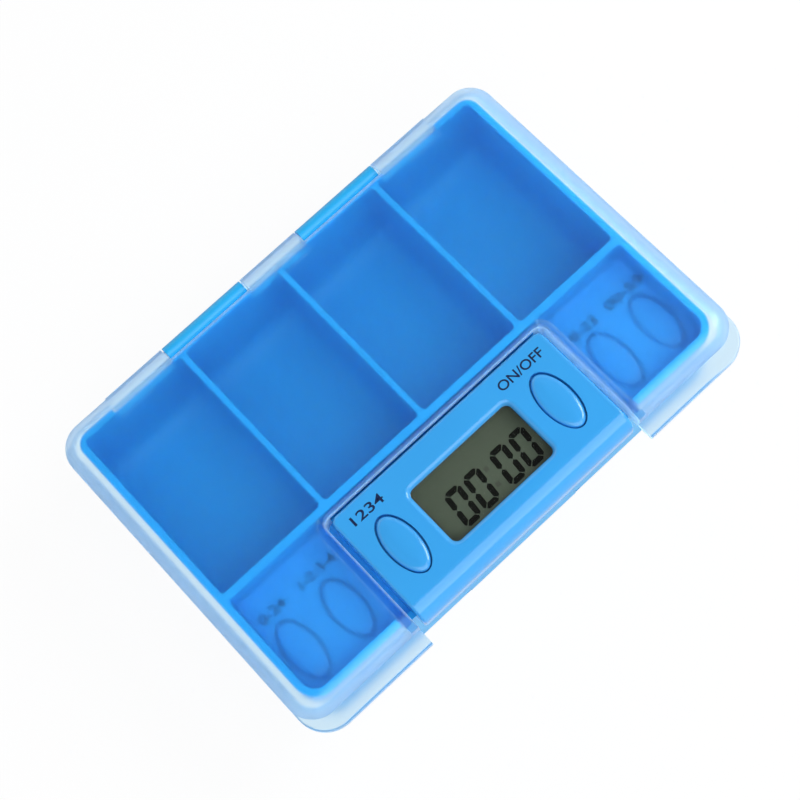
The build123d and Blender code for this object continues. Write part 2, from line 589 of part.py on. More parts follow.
def make_display_ribbon():
    """The printed ribbon from the glass's contact ledge down to the board."""
    top = REAR_GLASS_TOP - RIBBON_T / 2
    bottom = BOARD_TOP + RIBBON_T / 2
    start = REAR_GLASS_BACK + HOLDER_LIP + 0.3
    back = FRONT_GLASS_BACK + RIBBON_BEND
    path = FilletPolyline((start, top), (back, top), (back, bottom), (start + RIBBON_BEND, bottom),
                          radius=RIBBON_BEND)
    ribbon = Plane.YZ * extrude(trace(path, RIBBON_T), RIBBON_WIDTH)
    return Pos(-RIBBON_WIDTH / 2, 0, 0) * ribbon


# ---- board -----------------------------------------------------------------------------
def make_circuit_board():
    board = plate(-BOARD_X, BOARD_X, BOARD_FRONT, BOARD_BACK, BOARD_UNDER, BOARD_TOP, 1.5)
    for x, y in COVER_SCREWS:
        board -= post(x, y, 0, HEIGHT, COVER_BOSS_R + HOLE_FIT)
    for x, y in BOARD_SCREWS:
        board -= post(x, y, 0, HEIGHT, BOARD_SCREW_R + HOLE_FIT)
    return board


def make_chip_blob():
    """The black resin dome over the timer chip, under the board."""
    radius = (BLOB_R ** 2 + BLOB_H ** 2) / (2 * BLOB_H)
    ball = Pos(-BUZZER_X, CELL_Y, BOARD_UNDER - BLOB_H + radius) * Sphere(radius)
    return ball & post(-BUZZER_X, CELL_Y, BOARD_UNDER - BLOB_H - 1, BOARD_UNDER, BLOB_R + 1)


def make_crystal_can():
    x0 = -BUZZER_X + BLOB_R + PARTS_GAP
    can = rod(x0, x0 + CRYSTAL_LENGTH, CELL_Y + CRYSTAL_ASIDE, BOARD_UNDER - CRYSTAL_R, CRYSTAL_R)
    return chamfer([e for e in can.edges() if e.geom_type == GeomType.CIRCLE], CRYSTAL_R / 4)


def make_chip_parts():
    """Small chip capacitors and resistors soldered under the board."""
    length, width, height = CHIP_SIZE
    x0 = -BUZZER_X + BLOB_R + PARTS_GAP + length / 2
    parts = []
    for i in range(3):
        y = CELL_Y + CHIP_ASIDE + i * CHIP_PITCH
        parts.append(Pos(x0, y, BOARD_UNDER - height / 2) * Box(length, width, height))
    return Compound(children=parts)


# ---- battery and buzzer ----------------------------------------------------------------
def make_cell(x, cap_up):
    """A button cell: a can with a narrower cap on its negative side."""
    can = post(x, CELL_Y, 0, CELL_H - CELL_CAP_H, CELL_R)
    can = chamfer(edges_at(can, 0) + edges_at(can, CELL_H - CELL_CAP_H), CELL_EDGE)
    cap = post(x, CELL_Y, CELL_H - CELL_CAP_H - CELL_EDGE, CELL_H, CELL_CAP_R)
    cell = can + chamfer(edges_at(cap, CELL_H), CELL_EDGE)
    if not cap_up:
        cell = Pos(0, 0, CELL_H) * mirror(cell, Plane.XY)
    return Pos(0, 0, TRAY_FLOOR) * cell


def make_cell_contact(x):
    """A leaf soldered under the board, bent down onto a cell."""
    side = math.copysign(1, x)
    high = BOARD_UNDER - STRIP_T / 2
    low = CELL_TOP + STRIP_T / 2
    run = side * CELL_LEAF_RUN
    return strip([(x + 2 * run, high), (x + run, high), (x, low), (x - side * CELL_LEAF_TIP, low + LEAF_KICK)],
                 CELL_Y, STRIP_WIDTH)


def make_buzzer_contacts():
    """Two sprung leaves from the board, one on the brass disc and one on the ceramic."""
    high = BOARD_UNDER - STRIP_T / 2
    leaves = []
    for touch, y, surface in (
        (BUZZER_X + (DISC_R + CERAMIC_R) / 2, CELL_Y, DISC_Z + DISC_T),
        (BUZZER_X + CERAMIC_R / 5, CELL_Y + CERAMIC_R / 2, DISC_Z + 2 * DISC_T),
    ):
        low = surface + STRIP_T / 2 + FIT / 2
        bend = touch - BUZZER_LEAF_RUN
        leaves.append(strip([(bend - BUZZER_LEAF_FOOT, high), (bend, high), (touch, low),
                             (touch + BUZZER_LEAF_TIP, low + LEAF_KICK)], y, BUZZER_LEAF_WIDTH))
    return Compound(children=leaves)


def make_battery_door():
    """The sliding door under the cells, with tongues, thumb ridges and a seat for the bridge."""
    half = BOX_X - DOOR_FIT
    back = BOX_BACK - DOOR_FIT
    door = block(-half, half, TRAY_FRONT, back, DOOR_RECESS, DOOR_TOP)
    tongue = BOX_X + DOOR_TONGUE - DOOR_FIT
    door += block(-tongue, tongue, TRAY_FRONT + FOOT_EDGE_R, back, TONGUE_Z - DOOR_TONGUE_T / 2,
                  TONGUE_Z + DOOR_TONGUE_T / 2)
    for i in range(GRIP_RIDGES):
        y = TRAY_FRONT + GRIP_INSET + i * GRIP_PITCH
        door -= block(-GRIP_WIDTH / 2, GRIP_WIDTH / 2, y, y + GRIP_PITCH / 2, 0, DOOR_RECESS + GRIP_DEPTH)
    bridge_x, bridge_y = bridge_size()
    door -= block(-bridge_x - FIT, bridge_x + FIT, CELL_Y - bridge_y - FIT, CELL_Y + bridge_y + FIT,
                  DOOR_TOP - BRIDGE_T, HEIGHT)
    return door


def bridge_size():
    """Half length and half width of the plate that joins the two cells."""
    return CELL_XS[1] + CELL_R / 2, STRIP_WIDTH / 2


def make_cell_bridge():
    bridge_x, bridge_y = bridge_size()
    return block(-bridge_x, bridge_x, CELL_Y - bridge_y, CELL_Y + bridge_y, DOOR_TOP - BRIDGE_T, DOOR_TOP)


# ---- screws ----------------------------------------------------------------------------
def make_screw(x, y, seat, shank_r, length, head_r, head_h):
    """A pan-head screw pointing up, its head under the seat, with a cross recess."""
    head = post(x, y, seat - head_h, seat, head_r)
    head = chamfer(edges_at(head, seat - head_h), head_h * 0.4)
    shank = post(x, y, seat - 0.1, seat + length, shank_r)
    shank = chamfer(edges_at(shank, seat + length), shank_r * 0.5)
    arm, slot = head_r * 0.6, head_r * 0.14
    cross = block(-arm, arm, -slot, slot, -1, head_h * 0.5) + block(-slot, slot, -arm, arm, -1, head_h * 0.5)
    return head + shank - Pos(x, y, seat - head_h) * cross


def make_cover_screws():
    return Compound(children=[make_screw(x, y, SCREW_SEAT, COVER_SCREW_R, COVER_SCREW_LENGTH,
                                         SCREW_HEAD_R, SCREW_HEAD_H) for x, y in COVER_SCREWS])


def make_board_screws():
    return Compound(children=[make_screw(x, y, BOARD_UNDER, BOARD_SCREW_R, BOARD_SCREW_LENGTH,
                                         BOARD_HEAD_R, BOARD_HEAD_H) for x, y in BOARD_SCREWS])


def build_parts():
    """Every piece of the box by its node's name."""
    parts = {
        "base_tray": make_base_tray(),
        "timer_cover": make_timer_cover(),
        "lid": make_lid(),
        "window_lens": make_window_lens(),
        "display_front_glass": make_front_glass(),
        "display_rear_glass": make_rear_glass(),
        "display_reflector": make_reflector(),
        "display_holder": make_display_holder(),
        "display_ribbon": make_display_ribbon(),
        "circuit_board": make_circuit_board(),
        "chip_blob": make_chip_blob(),
        "crystal_can": make_crystal_can(),
        "chip_parts": make_chip_parts(),
        "switch_bodies": make_switch_bodies(),
        "battery_door": make_battery_door(),
        "cell_bridge": make_cell_bridge(),
        "cell_left": make_cell(CELL_XS[0], True),
        "cell_right": make_cell(CELL_XS[1], False),
        "negative_contact": make_cell_contact(CELL_XS[0]),
        "positive_contact": make_cell_contact(CELL_XS[1]),
        "buzzer_disc": post(BUZZER_X, CELL_Y, DISC_Z, DISC_Z + DISC_T, DISC_R),
        "buzzer_ceramic": post(BUZZER_X, CELL_Y, DISC_Z + DISC_T, DISC_Z + 2 * DISC_T, CERAMIC_R),
        "buzzer_contacts": make_buzzer_contacts(),
        "cover_screws": make_cover_screws(),
        "board_screws": make_board_screws(),
    }
    for name, x in PANEL_KEYS.items():
        parts[f"key_{name}"] = make_key(x, HEIGHT, PANEL_UNDER)
        parts[f"plunger_{name}"] = make_plunger(x)
    for name, x in DECK_KEYS.items():
        parts[f"key_{name}"] = make_key(x, DECK_Z, SHELF_Z)
        parts[f"plunger_{name}"] = make_plunger(x)
    return parts


if __name__ == "__main__":
    os.makedirs("parts", exist_ok=True)
    for node, solid in build_parts().items():
        export_step(solid, f"parts/{node}.step")
        size = solid.bounding_box().size
        print(f"{node:20s} {len(solid.solids())} solid(s) {size.X:7.2f} {size.Y:7.2f} {size.Z:7.2f}")
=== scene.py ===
"""Pill box with a timer: finishes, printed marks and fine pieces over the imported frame."""
import logging
import math
from dataclasses import dataclass, field
from enum import Enum
from typing import Optional, Sequence

import bmesh
import bpy
from mathutils import Matrix, Vector


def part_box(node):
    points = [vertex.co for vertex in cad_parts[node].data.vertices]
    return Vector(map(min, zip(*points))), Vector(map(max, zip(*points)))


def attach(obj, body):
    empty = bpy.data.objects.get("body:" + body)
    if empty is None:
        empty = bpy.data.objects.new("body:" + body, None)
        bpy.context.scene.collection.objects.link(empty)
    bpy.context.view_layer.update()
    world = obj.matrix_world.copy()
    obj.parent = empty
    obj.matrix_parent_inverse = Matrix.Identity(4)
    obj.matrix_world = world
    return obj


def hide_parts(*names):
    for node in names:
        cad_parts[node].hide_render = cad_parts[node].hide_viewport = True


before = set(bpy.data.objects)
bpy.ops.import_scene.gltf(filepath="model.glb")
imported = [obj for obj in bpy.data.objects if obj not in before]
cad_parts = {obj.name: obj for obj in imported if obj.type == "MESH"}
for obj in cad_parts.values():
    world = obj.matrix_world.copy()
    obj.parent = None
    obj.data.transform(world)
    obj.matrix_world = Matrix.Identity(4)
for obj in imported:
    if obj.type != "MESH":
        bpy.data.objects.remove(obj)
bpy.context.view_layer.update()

log = logging.getLogger("pill_box")
MM = 0.001


# ---- small tools -----------------------------------------------------------------------
def linear(hex_colour: str) -> tuple[float, float, float, float]:
    """Turns an sRGB hex colour into the linear colour that shaders use.

    Args:
        hex_colour: six hex digits, such as "3da5f0".

    Returns:
        Linear red, green, blue and an alpha of 1.
    """
    def channel(text: str) -> float:
        """One channel from its two hex digits."""
        value = int(text, 16) / 255
        return value / 12.92 if value <= 0.04045 else ((value + 0.055) / 1.055) ** 2.4

    red, green, blue = (channel(hex_colour[i:i + 2]) for i in (0, 2, 4))
    return red, green, blue, 1.0


def add_node(tree: bpy.types.NodeTree, kind: str, values: Optional[dict] = None,
             links: Optional[dict] = None, **settings: object) -> bpy.types.Node:
    """Adds one shader node with its settings and links.

    Args:
        tree: the material's or world's node tree.
        kind: the node's type, such as "ShaderNodeTexNoise".
        values: input socket name or index to value.
        links: input socket name or index to the output socket that feeds it.
        settings: attributes of the node itself.

    Returns:
        The new node.
    """
    node = tree.nodes.new(kind)
    for name, value in settings.items():
        setattr(node, name, value)
    for socket, value in (values or {}).items():
        node.inputs[socket].default_value = value
    for socket, source in (links or {}).items():
        tree.links.new(source, node.inputs[socket])
    return node


def object_from(bm: bmesh.types.BMesh, name: str, crease: float = 0.0) -> bpy.types.Object:
    """Makes an object at the origin from a finished bmesh, and frees the bmesh.

    Args:
        bm: the mesh, already in its place in metres.
        name: the object's name.
        crease: the angle in radians past which an edge stays sharp; 0 keeps every face flat.

    Returns:
        The new object, linked to the scene.
    """
    bmesh.ops.recalc_face_normals(bm, faces=bm.faces)
    for face in bm.faces:
        face.smooth = crease > 0
    for edge in bm.edges:
        edge.smooth = edge.calc_face_angle(0.0) < crease
    mesh = bpy.data.meshes.new(name)
    bm.to_mesh(mesh)
    bm.free()
    piece = bpy.data.objects.new(name, mesh)
    bpy.context.scene.collection.objects.link(piece)
    return piece


# ---- finishes --------------------------------------------------------------------------
MADE: dict[str, bpy.types.Material] = {}
BRUSH_STRETCH = (0.05, 1.0, 1.0)     # draws a brushed grain out along X
DRIFT_ENDS = (0.3, 0.7)              # the noise values at which the shade is lightest and darkest
SMOOTH_DETAIL, CAST_DETAIL = 2.0, 4.0
GRAIN_DEPTH = 0.1                    # the relief's height, as a share of the grain's width


class Grain(Enum):
    """How a surface's fine relief and shade run."""
    MOULDED = "moulded"
    BRUSHED = "brushed"
    CAST = "cast"


@dataclass(frozen=True)
class Finish:
    """A finish of one material, as its maker would name it.

    The fine relief is noise in the object's own coordinates, grain_mm wide, and the shade
    drifts slowly over shade_mm, as pigment does in a moulding. A mould's own grain is a few
    hundredths of a millimetre, too fine to show, so it is drawn some ten times as coarse.
    """
    name: str
    colour: str
    roughness: float
    ior: float = 1.5
    metallic: float = 0.0
    grain_mm: float = 0.3
    relief: float = 0.05
    shade_mm: float = 18.0
    shade: float = 0.03
    grain: Grain = Grain.MOULDED

    def coordinates(self, tree: bpy.types.NodeTree) -> bpy.types.NodeSocket:
        """Object coordinates, drawn out along X where the surface is brushed.

        Args:
            tree: the material's node tree.

        Returns:
            The socket of the coordinates.
        """
        place = add_node(tree, "ShaderNodeTexCoord").outputs["Object"]
        if self.grain is not Grain.BRUSHED:
            return place
        mapping = add_node(tree, "ShaderNodeMapping", {"Scale": BRUSH_STRETCH}, {"Vector": place})
        return mapping.outputs["Vector"]

    def shaded_colour(self, tree: bpy.types.NodeTree,
                      place: bpy.types.NodeSocket) -> bpy.types.NodeSocket:
        """The base colour with its slow drift of shade.

        Args:
            tree: the material's node tree.
            place: the coordinates.

        Returns:
            The socket of the colour.
        """
        drift = add_node(tree, "ShaderNodeTexNoise",
                         {"Scale": 1 / (self.shade_mm * MM), "Detail": SMOOTH_DETAIL},
                         {"Vector": place})
        ramp = add_node(tree, "ShaderNodeValToRGB", links={"Fac": drift.outputs["Fac"]})
        base = linear(self.colour)[:3]
        factors = (1 - self.shade, 1 + self.shade)
        for element, factor, position in zip(ramp.color_ramp.elements, factors, DRIFT_ENDS):
            element.color = tuple(min(1.0, channel * factor) for channel in base) + (1.0,)
            element.position = position
        return ramp.outputs["Color"]

    def relief_normal(self, tree: bpy.types.NodeTree,
                      place: bpy.types.NodeSocket) -> bpy.types.NodeSocket:
        """The bump that the grain gives.

        Args:
            tree: the material's node tree.
            place: the coordinates.

        Returns:
            The socket of the normal.
        """
        width = self.grain_mm * MM
        detail = CAST_DETAIL if self.grain is Grain.CAST else SMOOTH_DETAIL
        grain = add_node(tree, "ShaderNodeTexNoise", {"Scale": 1 / width, "Detail": detail},
                         {"Vector": place})
        bump = add_node(tree, "ShaderNodeBump",
                        {"Strength": self.relief, "Distance": width * GRAIN_DEPTH},
                        {"Height": grain.outputs["Fac"]})
        return bump.outputs["Normal"]

    def shader(self, tree: bpy.types.NodeTree) -> bpy.types.Node:
        """The main shader, before any mixing.

        Args:
            tree: the material's node tree.

        Returns:
            The Principled node.
        """
        values = {"Base Color": linear(self.colour), "Roughness": self.roughness,
                  "IOR": self.ior, "Metallic": self.metallic}
        place = self.coordinates(tree)
        links = {}
        if self.shade:
            links["Base Color"] = self.shaded_colour(tree, place)
        if self.relief:
            links["Normal"] = self.relief_normal(tree, place)
        return add_node(tree, "ShaderNodeBsdfPrincipled", values, links)

    def surface(self, tree: bpy.types.NodeTree) -> bpy.types.NodeSocket:
        """The shader socket that goes to the material's output."""
        return self.shader(tree).outputs[0]

    def depth(self, tree: bpy.types.NodeTree, output: bpy.types.Node) -> None:
        """Links a volume to the material's output, where the finish has one."""

    def material(self) -> bpy.types.Material:
        """The finish as a Blender material, made once and shared.

        Returns:
            The material.
        """
        if self.name in MADE:
            return MADE[self.name]
        made = MADE[self.name] = bpy.data.materials.new(self.name)
        made.use_nodes = True
        tree = made.node_tree
        tree.nodes.clear()
        output = add_node(tree, "ShaderNodeOutputMaterial", links={"Surface": self.surface(tree)})
        self.depth(tree, output)
        return made

    def dress(self, piece: bpy.types.Object) -> None:
        """Puts the finish on every slot of a piece.

        Args:
            piece: the object, with or without slots.
        """
        if not piece.material_slots:
            piece.data.materials.append(self.material())
        for slot in piece.material_slots:
            slot.material = self.material()


@dataclass(frozen=True)
class TranslucentPlastic(Finish):
    """A coloured plastic that lets some light into its depth.

    depth_share is how much of its colour comes from under the skin, depth_mm how far the
    light goes there, and depth_reach what share of that way red, green and blue get.
    """
    depth_mm: float = 1.5
    depth_share: float = 0.2
    depth_reach: tuple[float, float, float] = (0.2, 0.6, 1.0)

    def shader(self, tree: bpy.types.NodeTree) -> bpy.types.Node:
        """The main shader with light carried a little way under the skin.

        Args:
            tree: the material's node tree.

        Returns:
            The Principled node.
        """
        node = super().shader(tree)
        node.inputs["Subsurface Weight"].default_value = self.depth_share
        node.inputs["Subsurface Radius"].default_value = self.depth_reach
        node.inputs["Subsurface Scale"].default_value = self.depth_mm * MM
        return node


@dataclass(frozen=True)
class ThinPane(Finish):
    """A pane so thin and clear that it only dims and glosses what lies behind it."""
    cover: float = 0.1

    def shader(self, tree: bpy.types.NodeTree) -> bpy.types.Node:
        """The main shader, mostly see-through.

        Args:
            tree: the material's node tree.

        Returns:
            The Principled node.
        """
        node = super().shader(tree)
        node.inputs["Alpha"].default_value = self.cover
        return node


@dataclass(frozen=True)
class ClearPlastic(Finish):
    """A see-through plastic.

    shade_colour is what each skin lets through to the shade. depth_colour and depth_density
    say how light colours on its way through the plastic: a density of 1 is one part in e left
    after each millimetre of a black depth_colour.
    """
    shade_colour: str = "ffffff"
    depth_colour: str = "ffffff"
    depth_density: float = 0.0

    def shader(self, tree: bpy.types.NodeTree) -> bpy.types.Node:
        """The main shader, which passes light on.

        Args:
            tree: the material's node tree.

        Returns:
            The Principled node.
        """
        node = super().shader(tree)
        node.inputs["Transmission Weight"].default_value = 1.0
        return node

    def surface(self, tree: bpy.types.NodeTree) -> bpy.types.NodeSocket:
        """The shader for what is seen, and a plain tint for the shade that it casts.

        Args:
            tree: the material's node tree.

        Returns:
            The mixed shader's socket.
        """
        seen = self.shader(tree)
        tint = add_node(tree, "ShaderNodeBsdfTransparent", {"Color": linear(self.shade_colour)})
        ray = add_node(tree, "ShaderNodeLightPath")
        mixed = add_node(tree, "ShaderNodeMixShader", links={
            "Fac": ray.outputs["Is Shadow Ray"], 1: seen.outputs[0], 2: tint.outputs[0]})
        return mixed.outputs[0]

    def depth(self, tree: bpy.types.NodeTree, output: bpy.types.Node) -> None:
        """Links the plastic's own colour, which deepens with its thickness.

        Args:
            tree: the material's node tree.
            output: the material's output node.
        """
        if self.depth_density:
            inside = add_node(tree, "ShaderNodeVolumeAbsorption", {
                "Color": linear(self.depth_colour), "Density": self.depth_density / MM})
            tree.links.new(inside.outputs[0], output.inputs["Volume"])


@dataclass(frozen=True)
class FrostedPlastic(ClearPlastic):
    """A clear plastic whose frosting turns milky where the eye looks along its wall.

    The haze begins at a slant of haze_start, and has its most, haze_most, from haze_full on.
    glow_share is how much of it is light from behind.
    """
    haze_colour: str = "e2f0fc"
    haze_start: float = 0.1
    haze_full: float = 0.36
    haze_most: float = 0.56
    glow_share: float = 0.7

    def surface(self, tree: bpy.types.NodeTree) -> bpy.types.NodeSocket:
        """The clear shader, with haze laid over it at a slant.

        Args:
            tree: the material's node tree.

        Returns:
            The mixed shader's socket.
        """
        clear = super().surface(tree)
        colour = {"Color": linear(self.haze_colour)}
        skin = add_node(tree, "ShaderNodeBsdfDiffuse", colour)
        glow = add_node(tree, "ShaderNodeBsdfTranslucent", colour)
        haze = add_node(tree, "ShaderNodeMixShader", {"Fac": self.glow_share},
                        {1: skin.outputs[0], 2: glow.outputs[0]})
        slant = add_node(tree, "ShaderNodeLayerWeight", {"Blend": 0.5})
        share = add_node(tree, "ShaderNodeMapRange",
                         {"From Min": self.haze_start, "From Max": self.haze_full,
                          "To Min": 0.0, "To Max": self.haze_most},
                         {"Value": slant.outputs["Facing"]}, interpolation_type="SMOOTHSTEP")
        mixed = add_node(tree, "ShaderNodeMixShader", links={
            "Fac": share.outputs[0], 1: clear, 2: haze.outputs[0]})
        return mixed.outputs[0]


# Frosted polypropylene, moulded: milky and soft, it blurs what lies deep under it.
LID_PLASTIC = FrostedPlastic(
    "frosted_polypropylene", "e0f3fd", 0.29, ior=1.4, grain_mm=0.6, relief=0.01, shade=0.01,
    shade_colour="e2fce8", depth_colour="58c8f8", depth_density=0.1)
# Blue polypropylene, moulded: a satin skin, and light sinks in a little at its thin walls.
TRAY_PLASTIC = TranslucentPlastic(
    "sky_blue_polypropylene", "1ca9e8", 0.38, ior=1.49, relief=0.04, depth_mm=1.0,
    depth_share=0.1)
# Blue ABS from a polished mould: highlights that are sharper than the tray's.
COVER_PLASTIC = TranslucentPlastic(
    "glossy_sky_blue_abs", "3aa2ea", 0.14, ior=1.53, relief=0.02, depth_share=0.05)
# Cast acrylic, polished: clear and bright, so the display shows sharply through it.
LENS_ACRYLIC = ClearPlastic("clear_acrylic", "f4faf8", 0.005, ior=1.49, relief=0.0, shade=0.0)
# The display's front pane, drawn glass: it leaves hardly more than a gloss.
DISPLAY_GLASS = ThinPane("display_pane", "262a22", 0.06, ior=1.52, relief=0.0, shade=0.0,
                         cover=0.01)
# Polarising film on the rear pane: a grey-green satin without a shine, under the acrylic.
DISPLAY_GROUND = Finish("display_polariser", "464d42", 0.45, ior=1.1, grain_mm=0.25,
                        relief=0.03, shade=0.02)
# Liquid crystal where it is switched on: nearly black, and without a shine of its own.
NUMERAL_INK = Finish("liquid_crystal_segments", "060705", 0.45, ior=1.1, relief=0.0)
# Liquid crystal where it is switched off: a trace darker than its ground.
UNLIT_INK = Finish("unlit_segments", "3f443b", 0.45, ior=1.1, relief=0.0)
# Pad-printing ink: a matt navy film.
PRINT_INK = Finish("dark_navy_pad_print", "061c46", 0.65, ior=1.3, grain_mm=0.15, relief=0.03)
# Metallised polyester film: a dull silver.
REFLECTOR_FILM = Finish("silvered_film", "9b9c92", 0.5, relief=0.02)
# Black ABS, moulded: plain and dull, as nobody sees it.
HOLDER_PLASTIC = Finish("black_abs", "17181a", 0.45)
# Polyimide ribbon: amber, with a slight gloss.
RIBBON_FILM = Finish("amber_polyimide", "b9701f", 0.3, relief=0.02)
# Glass-fibre laminate under solder mask: green, with the weave's cloudy shade.
BOARD_LAMINATE = Finish("green_solder_mask", "0f5a34", 0.35, grain_mm=0.5, relief=0.08,
                        shade=0.08, shade_mm=3.0)
# Epoxy resin, poured as a drop: black and glossy, with slow ripples.
RESIN = Finish("black_epoxy", "0b0b0c", 0.25, grain_mm=1.2, relief=0.1, grain=Grain.CAST)
# Nickel plate on pressed steel: bright, with the rolling marks of the sheet.
NICKEL = Finish("nickel_plate", "c9c6bf", 0.22, metallic=1.0, grain=Grain.BRUSHED, relief=0.05)
# Ceramic chips, fired: a matt tan.
CHIP_CERAMIC = Finish("fired_ceramic", "8d6f4d", 0.55, grain=Grain.CAST)
# Nylon switch housings, moulded: black and dull.
SWITCH_PLASTIC = Finish("black_nylon", "151516", 0.5)
# Acetal plungers, moulded: an even white with a slight gloss.
PLUNGER_PLASTIC = Finish("white_acetal", "e4e4df", 0.4)
# Stainless cell cans, drawn: bright, with fine lines.
CELL_STEEL = Finish("stainless_cell_can", "bdbdbb", 0.28, metallic=1.0, grain=Grain.BRUSHED,
                    relief=0.06)
# Brass sheet, rolled: warm and bright, with fine lines.
BRASS = Finish("plain_brass", "c7a154", 0.3, metallic=1.0, grain=Grain.BRUSHED, relief=0.06)
# Silvered ceramic: pale and a little grainy.
PIEZO = Finish("silvered_piezo_ceramic", "d2d1ca", 0.4, grain=Grain.CAST, relief=0.08)
# Zinc-plated steel screws: a cool, slightly dull grey.
SCREW_STEEL = Finish("zinc_plated_steel", "b3b5b8", 0.32, metallic=1.0, relief=0.06)


# ---- shells and works ------------------------------------------------------------------
@dataclass
class Shells:
    """The tray, the timer cover, the lid and the battery door, which keep their own solids."""
    finishes: dict[str, Finish] = field(default_factory=lambda: {
        "base_tray": TRAY_PLASTIC, "lid": LID_PLASTIC, "battery_door": TRAY_PLASTIC,
        "timer_cover": COVER_PLASTIC,
    })

    def build(self) -> None:
        """Dresses each shell."""
        for node, finish in self.finishes.items():
            finish.dress(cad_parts[node])
            log.info("%s: %s", node, finish.name)


@dataclass
class Works:
    """Everything under the timer cover, from the display's film down to the cells."""
    finishes: dict[str, Finish] = field(default_factory=lambda: {
        "window_lens": LENS_ACRYLIC, "display_front_glass": DISPLAY_GLASS,
        "display_rear_glass": DISPLAY_GROUND, "display_reflector": REFLECTOR_FILM,
        "display_holder": HOLDER_PLASTIC, "display_ribbon": RIBBON_FILM,
        "circuit_board": BOARD_LAMINATE, "chip_blob": RESIN, "crystal_can": NICKEL,
        "chip_parts": CHIP_CERAMIC, "switch_bodies": SWITCH_PLASTIC, "cell_bridge": NICKEL,
        "cell_left": CELL_STEEL, "cell_right": CELL_STEEL, "negative_contact": NICKEL,
        "positive_contact": NICKEL, "buzzer_disc": BRASS, "buzzer_ceramic": PIEZO,
        "buzzer_contacts": NICKEL, "cover_screws": SCREW_STEEL, "board_screws": SCREW_STEEL,
    })

    def build(self) -> None:
        """Dresses each piece of the works, and the switches' plungers."""
        plungers = [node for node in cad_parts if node.startswith("plunger_")]
        for node, finish in (self.finishes | dict.fromkeys(plungers, PLUNGER_PLASTIC)).items():
            finish.dress(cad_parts[node])
            log.info("%s: %s", node, finish.name)


